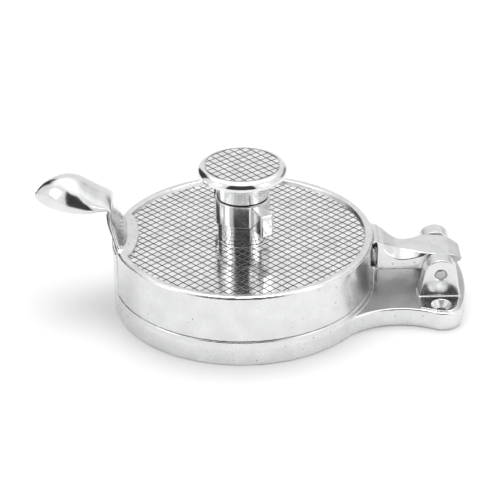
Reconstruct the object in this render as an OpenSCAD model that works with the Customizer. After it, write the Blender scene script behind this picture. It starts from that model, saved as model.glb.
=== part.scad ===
// Hinged patty press: a cast base with a hinge tail, a cast lid with a thumb
// handle and a hinge arm, and a palm knob that pushes a plate down inside the
// lid until it rests on a winged cam ring, which sets the patty's thickness.
// Millimetres. The origin is the centre of the round base's underside, +X
// points to the hinge, +Z points up, and the knob is fully down.

/* [Mould] */
// Diameter of the patty: the bore of the base and of the lid
patty_d = 115; // [112:0.5:116]
// Outer diameter of the lid
lid_d = 123; // [122:0.5:125]
// Outer diameter of the base's round rim
base_d = 123.4; // [122.4:0.1:125]
// Height of the base's rim above the table
base_h = 12.1; // [11:0.1:12.5]
// Thickness of the base's floor
floor_t = 4; // [3:0.5:5]
// Seam between the base's rim and the lid's wall
seam = 0.2; // [0.1:0.05:0.3]
// Height of the lid's top rim above the table
lid_top = 35.3; // [35:0.1:37]
// Depth of the lid's waffle field below its rim
field_drop = 1.7; // [1:0.1:2]
// Width of the lid's top rim
rim_w = 3.8; // [3:0.1:4.5]
// Thickness of the lid's ceiling under the waffle field
ceiling_t = 3.2; // [2.5:0.1:3.6]

/* [Neck and cam ring] */
// Diameter of the lid's neck
neck_d = 24; // [22:0.2:25]
// Height of the neck's two level shoulders above the table
neck_top = 43.9; // [43:0.1:44.5]
// Outer diameter of the cam ring
ring_d = 25.7; // [25:0.1:27]
// Height of the cam ring above the neck's shoulders
ring_h = 11.2; // [10:0.1:12]
// Lift of the ring over its whole turn
cam_rise = 7; // [4:0.5:7]
// Turn of the ring over its whole lift, in degrees
cam_span = 90; // [80:5:90]
// Direction of the first ramp's low end, in degrees from +X
cam_start = -229; // [-235:1:-220]
// Gap kept between the ring's ramps and the neck's ramps
cam_gap = 0.15; // [0.1:0.05:0.2]
// Reach of the two wings from the ring's axis
wing_reach = 23.8; // [20:0.2:26]
// Width of a wing
wing_w = 6.2; // [5:0.2:7]
// Direction of the first wing, in degrees from +X
wing_angle = -62; // [-70:1:-55]
// Depth of the shallow notch in the neck's front shoulder
notch_drop = 1.3; // [0.5:0.1:2]
// Thickness of the washer between the ring and the knob
washer_t = 0.6; // [0.4:0.1:1]
// Diameter of the washer
washer_d = 23.6; // [20:0.2:24]

/* [Knob and plate] */
// Diameter of the knob's head
knob_d = 42.3; // [38:0.1:46]
// Height of the knob's top face above the table
knob_top = 71.1; // [70.5:0.1:72]
// Radius of the round edge of the knob's head
knob_edge_r = 3.5; // [3:0.1:3.6]
// Thickness of the knob's head
knob_head_t = 4.1; // [3.9:0.1:4.4]
// Diameter of the knob's skirt, which stands on the washer
skirt_d = 24.9; // [24:0.1:25.6]
// Diameter of the stem
stem_d = 12; // [10:0.5:12]
// Least thickness of patty, with the ring at its lowest
patty_t = 9.5; // [8:0.5:10]
// Thickness of the press plate
plate_t = 4; // [4:0.1:4.5]
// Gap between the press plate's edge and the lid's bore
plate_gap = 0.4; // [0.3:0.1:1]
// Thread diameter of the plate's countersunk screw
screw_d = 5; // [4:0.5:5]

/* [Hinge] */
// Distance of the hinge pin from the press's axis
pin_x = 92.3; // [91.5:0.1:93]
// Height of the hinge pin above the table
pin_z = 20.8; // [20.7:0.1:21.2]
// Diameter of the hinge pin
pin_d = 5; // [4:0.5:6]
// Length of the hinge pin
pin_l = 36.6; // [36:0.2:37]
// Width over both hinge ears
ears_w = 37; // [37:0.5:39]
// Width of the gap between the ears
ear_gap = 19.6; // [19.5:0.1:20]
// Radius of an ear's round top
ear_r = 7.7; // [7:0.1:8]
// Width of an ear where it meets the tail
ear_foot_w = 20.4; // [18:0.2:22]
// Width of the lid's hinge arm
arm_w = 19; // [18:0.5:19]
// Radius of the arm's knuckle
knuckle_r = 6.7; // [6:0.1:7]

/* [Tail] */
// Thickness of the tail
tail_t = 9.2; // [9:0.1:9.2]
// Distance of the tail's end from the press's axis
tail_end = 105.6; // [105:0.1:107]
// Distance of the tail's narrowest place from the press's axis
waist_x = 72.5; // [70:0.5:74]
// Half of the tail's width at its narrowest place
waist_half = 29; // [27:0.5:31]
// Radius of the tail's two corners
corner_r = 9; // [7:0.5:10]
// Height of the screw pads above the tail
pad_h = 0.6; // [0.3:0.1:1]
// Distance between the two screw holes
hole_gap = 53; // [52:0.5:54]
// Diameter of a screw hole
hole_d = 4.3; // [3.5:0.1:5]
// Diameter of a screw hole's countersink
sink_d = 10; // [8:0.5:11]

/* [Thumb handle] */
// Thickness of the handle's shell
shell_t = 2.5; // [2:0.1:3]

/* [Hidden] */
$fn = 96;
eps = 0.01;                    // overrun that keeps cuts clear of faces
over = 1;                      // length by which a cut runs past the piece
lap = 1;                       // depth by which shapes of one casting overlap
bore_r = patty_d / 2;
lid_r = lid_d / 2;
base_r = base_d / 2;
lid_low = base_h + seam;
field_z = lid_top - field_drop;
ceiling_z = field_z - ceiling_t;
stem_r = stem_d / 2;
run = 0.05;                    // radial clearance of a running fit
fixed = 0.02;                  // radial clearance of a piece that is fixed
ring_top = neck_top + ring_h;
skirt_z = ring_top + washer_t;
plate_z = floor_t + patty_t;
seat_h = 1.2;                  // depth of the stem's seat in the plate
seat_z = plate_z + plate_t - seat_h;
grip_h = 6.5;                  // length of the stem inside the knob
stem_top = skirt_z + grip_h;
edge_r = 1.5;                  // round of the lid's and the base's edges
pad_x = [pin_x - 10.3, pin_x + 8.9];   // where the screw pads begin and end
arm_in = 3;                    // how far the arm reaches into the lid's wall
arm_pad_t = 2.3;               // thickness of the arm's pad on the lid's wall
arm_pad_top = lid_top - 1.2;   // height of that pad's top edge
cast = "Gainsboro";
bright = "WhiteSmoke";
steel = "LightSteelBlue";
dark = "DimGray";

// The tail's outline is a chain of arcs, each one tangent to the next: the
// round base, a hollow waist, a corner and the end.
waist_r = (pow(waist_x, 2) + pow(waist_half, 2) - pow(base_r, 2))
          / (2 * (base_r - waist_half));
waist_c = [waist_x, waist_half + waist_r];
corner_x = pin_x + 0.5;
corner_c = [corner_x, waist_c[1]
            - sqrt(pow(waist_r + corner_r, 2) - pow(corner_x - waist_x, 2))];
end_run = tail_end - corner_x;
end_r = (pow(end_run, 2) + pow(corner_c[1], 2) - pow(corner_r, 2))
        / (2 * (end_run - corner_r));
end_c = [tail_end - end_r, 0];

// Stations of the thumb handle, from its root to its tip: x and z of its two
// side edges, half width, height of the arch between them, and the direction
// of the arch in degrees from +X.
HANDLE = [
    [-57.3, 33.0, 16.2, 2.9, 10], [-58.2, 36.5, 16.0, 2.8, 10],
    [-59.8, 42.0, 14.4, 2.2, 12], [-61.0, 47.0, 12.4, 1.3, 12],
    [-61.3, 51.0, 11.0, 0.9, 14], [-61.35, 52.6, 10.5, 0.9, 35],
    [-62.2, 53.3, 10.5, 1.7, 62], [-64.4, 53.6, 11.1, 3.4, 76],
    [-67.5, 53.8, 12.2, 5.1, 84], [-71.5, 53.8, 13.4, 8.1, 90],
    [-76.0, 53.9, 13.5, 11.1, 90], [-80.5, 54.0, 12.8, 12.4, 90],
    [-85.0, 54.1, 10.9, 12.1, 90], [-89.0, 54.3, 8.4, 10.6, 90],
    [-92.4, 54.6, 5.5, 8.3, 90], [-95.0, 55.2, 3.2, 5.2, 90],
    [-96.5, 56.0, 1.7, 2.3, 90]];
handle_across = 12;            // facets across the handle
handle_tip_share = 0.6;        // most of the half width that the shell may fill

// Stations of the hinge arm's top, from the lid's rim to the knuckle: x and z
// of the top face, and the width and the depth of the scoops along its edges.
ARM = [
    [62.8, 34.1, -0.5, 0.4], [64.1, 33.4, 0.4, 1.4], [66, 32.5, 1.55, 3.2],
    [68, 31.3, 2.9, 4], [70, 30.1, 4, 4.15], [72, 29, 4.4, 3.95],
    [74, 28.3, 4.55, 3.7], [76.3, 28, 4.4, 3.3], [79, 27.9, 3.7, 2.9],
    [83, 27.85, 1.65, 1.9], [85.4, 27.8, 0.4, 1.2], [87.5, 27.8, -0.5, 0.8]];

// Point of a circle where the tangent from a point outside touches it
function touch(c, r, p, side) =
    let(d = p - c, a = atan2(d[1], d[0]) + side * acos(r / norm(d)))
    c + r * [cos(a), sin(a)];

// Outline of the base and its tail, drawn in by a margin
module base_outline(margin) {
    reach = 2 * end_r;
    circle(r = base_r - margin);
    for (side = [-1, 1]) {
        waist = [waist_c[0], side * waist_c[1]];
        corner = [corner_c[0], side * corner_c[1]];
        difference() {
            polygon([[0, 0], waist, corner]);
            translate(waist) circle(r = waist_r + margin);
        }
        translate(corner) circle(r = corner_r - margin);
    }
    polygon([[0, 0], corner_c, [corner_c[0], -corner_c[1]]]);
    slope = reach * (corner_c - end_c) / norm(corner_c - end_c);
    intersection() {
        translate(end_c) circle(r = end_r - margin);
        translate(end_c) polygon([[0, 0], slope, [slope[0], -slope[1]]]);
    }
}

// Side view of a hinge ear: a round top with straight flanks down to the tail
module ear_profile() {
    centre = [pin_x, pin_z];
    skew = 0.4;
    left = [pin_x - ear_foot_w / 2, tail_t - lap];
    right = [pin_x + ear_foot_w / 2 - skew, tail_t - lap];
    translate(centre) circle(r = ear_r);
    polygon([left, touch(centre, ear_r, left, -1), centre,
             touch(centre, ear_r, right, 1), right]);
}

// A piece drawn in the X-Z plane, w wide along Y and centred on y
module across(w, y = 0) {
    translate([0, y + w / 2, 0]) rotate([90, 0, 0]) linear_extrude(w) children();
}

// Cuts a quarter-round edge of radius r on the corner at [x, z] of a profile
module round_corner(x, z, r) {
    translate([x - r, z - r]) difference() {
        square(r + eps);
        circle(r = r);
    }
}

module base() {
    ear_w = (ears_w - ear_gap) / 2;
    rim_r = 0.6;
    pad_margin = 1.2;
    color(cast) difference() {
        union() {
            linear_extrude(tail_t) base_outline(0);
            rotate_extrude() difference() {
                square([base_r, base_h]);
                round_corner(base_r, base_h, rim_r);
            }
            for (side = [-1, 1]) {
                across(ear_w, side * (ear_gap + ear_w) / 2) ear_profile();
            }
            linear_extrude(tail_t + pad_h) intersection() {
                base_outline(pad_margin);
                for (side = [-1, 1]) {
                    translate([pad_x[0], side * ears_w - ears_w / 2 - side * lap])
                        square([pad_x[1] - pad_x[0], ears_w]);
                }
            }
        }
        translate([0, 0, floor_t]) cylinder(r = bore_r, h = base_h);
        across(ears_w + over) translate([pin_x, pin_z]) circle(r = pin_d / 2 + fixed);
        for (side = [-1, 1]) {
            translate([pin_x, side * hole_gap / 2, 0]) screw_hole();
        }
    }
}

// A countersunk hole down through the tail
module screw_hole() {
    top = tail_t + pad_h;
    sink_h = (sink_d - hole_d) / 2;
    translate([0, 0, -over]) cylinder(d = hole_d, h = top + 2 * over);
    translate([0, 0, top - sink_h])
        cylinder(d1 = hole_d, d2 = sink_d + 2 * over, h = sink_h + over);
}

module hinge_pin() {
    bevel = 0.4;
    color(steel) translate([pin_x, 0, pin_z]) rotate([90, 0, 0]) rotate_extrude()
        polygon([[0, -pin_l / 2], [pin_d / 2 - bevel, -pin_l / 2],
                 [pin_d / 2, bevel - pin_l / 2], [pin_d / 2, pin_l / 2 - bevel],
                 [pin_d / 2 - bevel, pin_l / 2], [0, pin_l / 2]]);
}

// A wedge round the Z axis whose lower face climbs from -depth at the angle
// from to 0 after the angle span; its upper face stands at head
module ramp(depth, from, span, reach, head) {
    steps = 30;
    core = stem_r - 1;
    rows = [for (i = [0 : steps]) let(a = from + span * i / steps,
            low = -depth * (1 - i / steps), u = [cos(a), sin(a)])
            each [[core * u[0], core * u[1], low], [reach * u[0], reach * u[1], low],
                  [reach * u[0], reach * u[1], head], [core * u[0], core * u[1], head]]];
    sides = [for (i = [0 : steps - 1], k = [0 : 3])
             let(a = 4 * i + k, b = 4 * i + (k + 1) % 4)
             each [[a, b, b + 4], [a, b + 4, a + 4]]];
    last = 4 * steps;
    polyhedron(concat(rows), concat(sides, [[3, 2, 1, 0],
               [last, last + 1, last + 2, last + 3]]), convexity = 4);
}

// Both ramps of the cam, half a turn apart
module ramps(depth, ahead, reach, head) {
    for (half = [0, 180]) {
        ramp(depth, cam_start + half + ahead, cam_span - ahead, reach, head);
    }
}

// Height and bulge of the handle's shell at station i and place j across it,
// on its outer face (side 1) or its inner face (side 0)
function handle_point(i, j, side) =
    let(s = HANDLE[i], t = 180 * j / handle_across,
        inset = side > 0 ? 0 : min(shell_t, handle_tip_share * s[2]),
        n = [s[3] * cos(t), s[2] * sin(t)], u = n / norm(n),
        y = s[2] * cos(t) - inset * u[0], up = s[3] * sin(t) - inset * u[1])
    [s[0] + up * cos(s[4]), y, s[1] + up * sin(s[4])];

// The thumb handle: a thin upright plate that bends over into a domed spoon
module handle() {
    n = len(HANDLE);
    m = handle_across + 1;
    ring = [for (j = [0 : handle_across]) [j, 1]];
    back = [for (j = [0 : handle_across]) [handle_across - j, 0]];
    loop = concat(ring, back);
    count = len(loop);
    points = [for (i = [0 : n - 1], p = loop) handle_point(i, p[0], p[1])];
    sides = [for (i = [0 : n - 2], k = [0 : count - 1])
             let(a = i * count + k, b = i * count + (k + 1) % count)
             each [[a, b, b + count], [a, b + count, a + count]]];
    first_cap = [for (j = [0 : m - 2]) each
                 [[j, count - 2 - j, j + 1], [j, count - 1 - j, count - 2 - j]]];
    last = (n - 1) * count;
    last_cap = [for (f = first_cap) [last + f[2], last + f[1], last + f[0]]];
    polyhedron(points, concat(sides, first_cap, last_cap), convexity = 6);
}

// Side view of the hinge arm: a bar that dips in an even wave from the lid's
// rim to the knuckle round the pin, and the round stop nose behind the pin
module arm_profile() {
    bar_low = pin_z - 1.5;
    nose_x = pin_x + 11.3;
    nose_start = [pin_x + 4.5, pin_z + knuckle_r - 0.3];
    nose_top = [[nose_x - 1.4, pin_z + 3.7], [nose_x - 0.4, pin_z + 2.8],
                [nose_x, pin_z + 1.5]];
    heel = [pin_x + 8.4, pin_z - 5.2];
    knuckle_start = pin_x - 8;
    polygon(concat([[lid_r - arm_in, bar_low], [lid_r - arm_in, arm_pad_top]],
                   [for (s = ARM) [s[0], s[1]]],
                   [[pin_x, pin_z + knuckle_r], nose_start], nose_top,
                   [[nose_x, pin_z - 1], heel, [pin_x, pin_z - knuckle_r],
                    [knuckle_start, bar_low]]));
    translate([pin_x, pin_z]) circle(r = knuckle_r);
}

// Scoop along one top edge of the arm, side 1 or -1: each station is a wedge
// whose inner face runs from the top face to the side face
module arm_scoop(side) {
    past = 0.1;
    clear = 3;
    ahead = 0.3;
    y0 = arm_w / 2;
    rings = [for (s = ARM) let(x = s[0] + ahead, w = s[2], h = s[3],
             inner = side * (y0 - w * (1 + past)), low = s[1] - h * (1 + past)) each
             [[x, inner, s[1] + h * past], [x, side * (y0 + abs(w) * past), low],
              [x, side * (y0 + clear), low], [x, side * (y0 + clear), s[1] + clear],
              [x, inner, s[1] + clear]]];
    n = 5;
    last = (len(ARM) - 1) * n;
    walls = [for (i = [0 : len(ARM) - 2], k = [0 : n - 1])
             let(a = i * n + k, b = i * n + (k + 1) % n)
             each [[a, b, b + n], [a, b + n, a + n]]];
    faces = concat(walls, [[for (k = [n - 1 : -1 : 0]) k], [for (k = [0 : n - 1]) last + k]]);
    polyhedron(rings, side > 0 ? [for (f = faces) [for (k = [len(f) - 1 : -1 : 0]) f[k]]]
                               : faces, convexity = 4);
}

// Side view of the lid of revolution, from its axis outwards
module lid_profile() {
    slope = 0.7;
    difference() {
        translate([0, lid_low]) square([lid_r, lid_top - lid_low]);
        translate([0, lid_low - eps]) square([bore_r, ceiling_z - lid_low + eps]);
        polygon([[0, field_z], [lid_r - rim_w - slope, field_z],
                 [lid_r - rim_w, lid_top + eps], [0, lid_top + eps]]);
        round_corner(lid_r, lid_top, edge_r);
    }
}

module lid() {
    color(bright) handle();
    color(bright) difference() {
        union() {
            rotate_extrude() lid_profile();
            translate([0, 0, field_z - lap])
                cylinder(d = neck_d, h = neck_top - field_z + lap);
            handle_land();
            wall_pad();
            translate([lid_r - arm_in, -arm_w / 2, lid_low])
                cube([arm_in + arm_pad_t, arm_w, pin_z - lid_low]);
            across(arm_w) arm_profile();
        }
        for (side = [-1, 1]) arm_scoop(side);
        intersection() {
            translate([0, 0, neck_top]) ramps(cam_rise, 0, neck_d / 2 + over, over);
            translate([0, 0, field_z]) cylinder(d = neck_d + over, h = lid_top);
        }
        neck_notch();
        cylinder(r = stem_r + run, h = neck_top + over);
        across(ears_w) translate([pin_x, pin_z]) circle(r = pin_d / 2 + run);
    }
}

// Level land round the handle's root, at the height of the lid's rim
module handle_land() {
    land_r = 64;
    land_x = -49.3;
    land_half = 22;
    translate([0, 0, field_z - lap]) linear_extrude(field_drop + lap) intersection() {
        circle(r = lid_r - edge_r);
        translate([land_x - land_r, 0]) circle(r = land_r);
        translate([-lid_r, -land_half]) square([lid_r, 2 * land_half]);
    }
}

// Slightly proud wall pad under the handle
module wall_pad() {
    proud = 0.6;
    pad_half = 17;
    translate([0, 0, lid_low]) linear_extrude(lid_top - edge_r - lid_low) difference() {
        intersection() {
            circle(r = lid_r + proud);
            translate([-lid_d, -pad_half]) square([lid_d, 2 * pad_half]);
        }
        circle(r = lid_r - lap);
    }
}

// Shallow notch in the neck's front shoulder
module neck_notch() {
    notch_w = 6.6;
    land_w = 2;
    translate([-notch_w / 2, -neck_d, neck_top - notch_drop])
        cube([notch_w, neck_d - stem_r - land_w, 2 * notch_drop]);
}

module stop_ring() {
    ahead = 1;
    play = 0.5;
    color(bright) difference() {
        union() {
            translate([0, 0, neck_top + cam_gap])
                cylinder(d = ring_d, h = ring_h - cam_gap);
            intersection() {
                translate([0, 0, neck_top + cam_gap])
                    ramps(cam_rise * (cam_span - ahead) / cam_span, ahead,
                          ring_d / 2 + over, over);
                cylinder(d = ring_d, h = ring_top);
            }
            for (turn = [0, 180]) {
                rotate([0, 0, wing_angle + turn])
                    translate([0, -wing_w / 2, neck_top + cam_gap])
                    cube([wing_reach, wing_w, ring_h - cam_gap]);
            }
        }
        cylinder(r = stem_r + play, h = ring_top + over);
    }
}

module thrust_washer() {
    play = 0.3;
    color(dark) translate([0, 0, ring_top]) difference() {
        cylinder(d = washer_d, h = washer_t);
        translate([0, 0, -over]) cylinder(r = stem_r + play, h = washer_t + 2 * over);
    }
}

module knob() {
    head_r = knob_d / 2;
    head_low = knob_top - knob_head_t;
    fillet = 4;
    end_gap = 0.2;
    color(bright) difference() {
        rotate_extrude() {
            translate([0, skirt_z]) square([skirt_d / 2, knob_top - skirt_z]);
            translate([0, head_low]) square([head_r - knob_edge_r, knob_head_t]);
            intersection() {
                translate([head_r - knob_edge_r, knob_top - knob_edge_r])
                    circle(r = knob_edge_r);
                translate([0, head_low]) square([head_r, knob_head_t]);
            }
            difference() {
                translate([0, head_low - fillet]) square([skirt_d / 2 + fillet, fillet]);
                translate([skirt_d / 2 + fillet, head_low - fillet]) circle(r = fillet);
            }
        }
        translate([0, 0, skirt_z - over])
            cylinder(r = stem_r + fixed, h = over + grip_h + end_gap);
    }
}

module plunger_stem() {
    tap_l = 13;
    color(steel) difference() {
        translate([0, 0, seat_z]) cylinder(r = stem_r, h = stem_top - seat_z);
        translate([0, 0, seat_z - eps]) cylinder(r = screw_d / 2 + fixed, h = tap_l);
    }
}

module press_plate() {
    play = 0.2;
    color(bright) difference() {
        translate([0, 0, plate_z]) cylinder(r = bore_r - plate_gap, h = plate_t);
        translate([0, 0, seat_z]) cylinder(r = stem_r + fixed, h = plate_t);
        translate([0, 0, plate_z - over]) cylinder(r = screw_d / 2 + play, h = plate_t);
        translate([0, 0, plate_z - eps])
            cylinder(r1 = screw_d, r2 = screw_d / 2, h = screw_d / 2);
    }
}

module plate_screw() {
    sunk = 0.1;
    head_h = screw_d / 2 - sunk;
    screw_l = 12;
    socket_w = 3.4;
    socket_h = 1.9;
    color(steel) difference() {
        translate([0, 0, plate_z + sunk]) {
            cylinder(r1 = screw_d - 2 * sunk, r2 = screw_d / 2, h = head_h);
            cylinder(r = screw_d / 2, h = screw_l);
        }
        translate([0, 0, plate_z]) cylinder(d = socket_w, h = socket_h, $fn = 6);
    }
}

base();
hinge_pin();
lid();
stop_ring();
thrust_washer();
knob();
plunger_stem();
press_plate();
plate_screw();
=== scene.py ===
"""The looks of a patty press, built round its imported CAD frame.

Shapes are worked out in millimetres and written to the meshes in metres. The
castings are distance fields, so that their ribs, scoops and ears run into each
other through fillets; turned pieces are lathe profiles; the waffle fields are
real grooves.
"""

import math

import bpy
import numpy as np
from mathutils import Matrix, Vector


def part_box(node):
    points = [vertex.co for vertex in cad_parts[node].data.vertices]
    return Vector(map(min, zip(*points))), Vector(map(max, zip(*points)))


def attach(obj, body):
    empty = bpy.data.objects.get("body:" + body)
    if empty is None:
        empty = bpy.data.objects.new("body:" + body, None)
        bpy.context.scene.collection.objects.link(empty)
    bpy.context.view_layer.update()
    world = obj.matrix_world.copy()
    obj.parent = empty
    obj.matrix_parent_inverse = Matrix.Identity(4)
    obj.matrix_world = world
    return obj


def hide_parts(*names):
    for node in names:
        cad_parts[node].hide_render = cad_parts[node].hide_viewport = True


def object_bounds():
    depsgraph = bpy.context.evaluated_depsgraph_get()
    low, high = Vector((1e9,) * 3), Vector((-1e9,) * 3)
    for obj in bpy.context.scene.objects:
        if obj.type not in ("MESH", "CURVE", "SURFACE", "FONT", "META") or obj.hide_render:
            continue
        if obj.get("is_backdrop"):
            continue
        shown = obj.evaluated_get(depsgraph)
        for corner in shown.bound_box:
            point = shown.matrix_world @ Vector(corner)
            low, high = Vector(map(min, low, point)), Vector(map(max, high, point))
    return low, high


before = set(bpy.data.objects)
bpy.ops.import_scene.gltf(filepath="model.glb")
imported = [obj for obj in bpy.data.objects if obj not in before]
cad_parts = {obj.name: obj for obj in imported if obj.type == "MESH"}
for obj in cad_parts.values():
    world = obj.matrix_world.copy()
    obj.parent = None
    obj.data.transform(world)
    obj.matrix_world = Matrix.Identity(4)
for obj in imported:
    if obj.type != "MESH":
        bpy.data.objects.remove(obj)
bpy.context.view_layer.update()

MM = 0.001


def node_box(node):
    """Lowest and highest corner of a CAD node, in millimetres."""
    low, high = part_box(node)
    return np.array(low) / MM, np.array(high) / MM


# ---------------------------------------------------------------- dimensions

BASE_BOX, LID_BOX = node_box("base"), node_box("lid")
RING_BOX, WASHER_BOX = node_box("stop_ring"), node_box("thrust_washer")
KNOB_BOX, STEM_BOX = node_box("knob"), node_box("plunger_stem")
PLATE_BOX, PIN_BOX = node_box("press_plate"), node_box("hinge_pin")

BORE_R = 57.5
LID_R = 61.5
BASE_R = BASE_BOX[1][1]
BASE_H = 12.1
FLOOR_T = 4.0
LID_LOW = LID_BOX[0][2]
LID_TOP = 35.3
FIELD_Z = 33.6
CEILING_Z = 30.4
RIM_W = 3.8
NECK_R = 12.0
NECK_TOP = 43.9
STEM_R = (STEM_BOX[1][0] - STEM_BOX[0][0]) / 2
CHAMFER = 0.2
RING_R = 12.85
RING_TOP = RING_BOX[1][2]
RING_HOLE_R = STEM_R + 0.5
# Clearance round the stem and the pin
RUN = 0.05

# The two cam ramps: their rise in mm and their angles in degrees
CAM_RISE = 7.0
CAM_SPAN = 90.0
CAM_START = -229.0
CAM_AHEAD = 1.0
CAM_GAP = 0.15
WING_ANGLE = -62.0
WING_W = 6.2
WING_REACH = 23.8

PIN_X, PIN_Z = (PIN_BOX[0][0] + PIN_BOX[1][0]) / 2, (PIN_BOX[0][2] + PIN_BOX[1][2]) / 2
PIN_R = (PIN_BOX[1][2] - PIN_BOX[0][2]) / 2
EARS_HALF = 18.5
EAR_GAP_HALF = 9.8
EAR_R = 7.7
ARM_HALF = 9.5
KNUCKLE_R = 6.7

TAIL_T = 9.2
TAIL_END = BASE_BOX[1][0]
WAIST_X, WAIST_HALF = 72.5, 29.0
CORNER_R = 9.0
PAD_H = 0.6
HOLE_HALF = 26.5
HOLE_R = 2.15
SINK_R = 5.0

GROOVE_PITCH = 3.71
GROOVE_DEPTH = 0.34
GROOVE_TOP_HALF, GROOVE_FLOOR_HALF = 0.32, 0.15
WAFFLE_SEAT = GROOVE_DEPTH + 0.15
LID_GROOVE_TURN = 43.3
KNOB_GROOVE_TURN = 38.4

KNOB_TOP = KNOB_BOX[1][2]


# ------------------------------------------------------------ distance fields

def blend(a, b, k):
    """Union of two fields with a fillet about k wide."""
    h = np.maximum(k - np.abs(a - b), 0) / k
    return np.minimum(a, b) - h * h * k / 4


def cut(a, b, k=0.0):
    """Field a without field b, with the edge rounded over about k."""
    return -blend(-a, b, k) if k else np.maximum(a, -b)


def meet(a, b, k):
    """What two fields have in common, with the edge rounded over about k."""
    return -blend(-a, -b, k)


def polygon_field(u, v, points):
    """Signed distance to a closed outline in the plane of u and v."""
    best = np.full(u.shape, np.inf)
    inside = np.zeros(u.shape, bool)
    for (ax, ay), (bx, by) in zip(points, points[1:] + points[:1]):
        ex, ey = bx - ax, by - ay
        wx, wy = u - ax, v - ay
        t = np.clip((wx * ex + wy * ey) / (ex * ex + ey * ey), 0, 1)
        best = np.minimum(best, (wx - ex * t) ** 2 + (wy - ey * t) ** 2)
        if ay != by:
            inside ^= ((ay > v) != (by > v)) & (wx < ex * wy / ey)
    return np.where(inside, -1, 1) * np.sqrt(best)


def slab(flat, across, edge):
    """A flat field given thickness, with edges of that radius."""
    a, b = flat + edge, across + edge
    outside = np.hypot(np.maximum(a, 0), np.maximum(b, 0))
    return np.minimum(np.maximum(a, b), 0) + outside - edge


ROUND_STEPS = 6


def rounded(corners):
    """Outline with round corners, from (u, v, radius) for each corner."""
    path = []
    count = len(corners)
    for i, (u, v, radius) in enumerate(corners):
        here = np.array((u, v))
        if not radius:
            path.append((u, v))
            continue
        before = np.array(corners[i - 1][:2]) - here
        after = np.array(corners[(i + 1) % count][:2]) - here
        before, after = before / np.linalg.norm(before), after / np.linalg.norm(after)
        half = math.acos(np.clip(before @ after, -1, 1)) / 2
        middle = (before + after) / np.linalg.norm(before + after)
        centre = here + middle * radius / math.sin(half)
        start = here + before * radius / math.tan(half) - centre
        turn = math.pi - 2 * half
        side = np.sign(before[0] * after[1] - before[1] * after[0])
        for k in range(ROUND_STEPS + 1):
            a = -side * turn * k / ROUND_STEPS
            path.append((centre[0] + start[0] * math.cos(a) - start[1] * math.sin(a),
                         centre[1] + start[0] * math.sin(a) + start[1] * math.cos(a)))
    return path


# A block of cells is looked at as one, and sampled only if the surface passes
# within NEAR block widths of its middle.
BLOCK, NEAR = 6, 1.3
# Passes that move points onto the surface, and the miss that puts one back.
PASSES, MISS = 4, 0.02
SLOPE_REACH = 0.02
# A casting made in two parts: each is this much smaller where they overlap.
SPLIT_STEP = 0.04


def field_mesh(name, field, low, high, cell, shading=None):
    """Closed mesh of the surface where a field is zero, with exact normals.

    The field is sampled on a grid only near its surface. Each cell that the
    surface crosses gets one point, which is then moved onto the surface. The
    normals can be taken from another field, of which this one is a part.
    """
    low, high = np.array(low, float), np.array(high, float)
    blocks = np.ceil((high - low) / (cell * BLOCK)).astype(int)
    near = field(*[low[i] + (g + 0.5) * cell * BLOCK
                   for i, g in enumerate(np.indices(blocks))])
    grid, live = near, np.abs(near) < cell * BLOCK * NEAR
    for axis in range(3):
        grid, live = np.repeat(grid, BLOCK, axis), np.repeat(live, BLOCK, axis)
    spots = np.argwhere(live)
    points = low + spots * cell
    grid[live] = field(points[:, 0], points[:, 1], points[:, 2])
    solid = grid < 0
    corners = [(i, j, k) for i in (0, 1) for j in (0, 1) for k in (0, 1)]
    shape = np.array(grid.shape) - 1

    def shifted(array, offset):
        return array[tuple(slice(o, o + n) for o, n in zip(offset, shape))]

    count = sum(shifted(solid, c).astype(np.int8) for c in corners)
    crossed = (count > 0) & (count < 8)
    cells = np.argwhere(crossed)
    total, weight = np.zeros(cells.shape), np.zeros(len(cells))
    for a in corners:
        for axis in range(3):
            if a[axis]:
                continue
            b = tuple(v + (i == axis) for i, v in enumerate(a))
            va, vb = shifted(grid, a)[crossed], shifted(grid, b)[crossed]
            hit = (va < 0) != (vb < 0)
            t = np.where(hit, va / np.where(hit, va - vb, 1), 0)
            place = np.array(a, float) + np.outer(t, np.eye(3)[axis])
            total += place * hit[:, None]
            weight += hit
    verts = low + (cells + total / weight[:, None]) * cell
    index = np.full(crossed.shape, -1)
    index[crossed] = np.arange(len(cells))
    faces = []
    for axis in range(3):
        one, two = [i for i in range(3) if i != axis]
        ahead = [slice(1, n) for n in shape]
        first, second = list(ahead), list(ahead)
        second[axis] = slice(2, shape[axis] + 1)
        first[axis] = slice(1, shape[axis])
        a, b = solid[tuple(first)], solid[tuple(second)]
        where = np.argwhere(a != b)
        rising = a[tuple(where.T)]
        where = where + 1
        ring = []
        for p, q in ((-1, -1), (0, -1), (0, 0), (-1, 0)):
            at = where.copy()
            at[:, one] += p
            at[:, two] += q
            ring.append(index[tuple(at.T)])
        ring = np.stack(ring, 1)
        flip = rising if axis != 1 else ~rising
        faces.append(np.where(flip[:, None], ring, ring[:, ::-1]))
    faces = np.concatenate(faces)
    start = verts.copy()
    for _ in range(PASSES):
        value, normal = field_and_normal(field, verts)
        verts -= normal * np.clip(value, -cell, cell)[:, None]
    missed = np.abs(field(verts[:, 0], verts[:, 1], verts[:, 2])) > MISS
    missed |= np.linalg.norm(verts - start, axis=1) > cell
    verts[missed] = start[missed]
    normal = field_and_normal(field, verts)[1]
    if shading:
        whole, smooth = field_and_normal(shading, verts)
        same = (np.abs(whole) < 2 * SPLIT_STEP)[:, None]
        normal = np.where(same, smooth, normal)
    return solid_mesh(name, verts, faces, normal)


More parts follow.
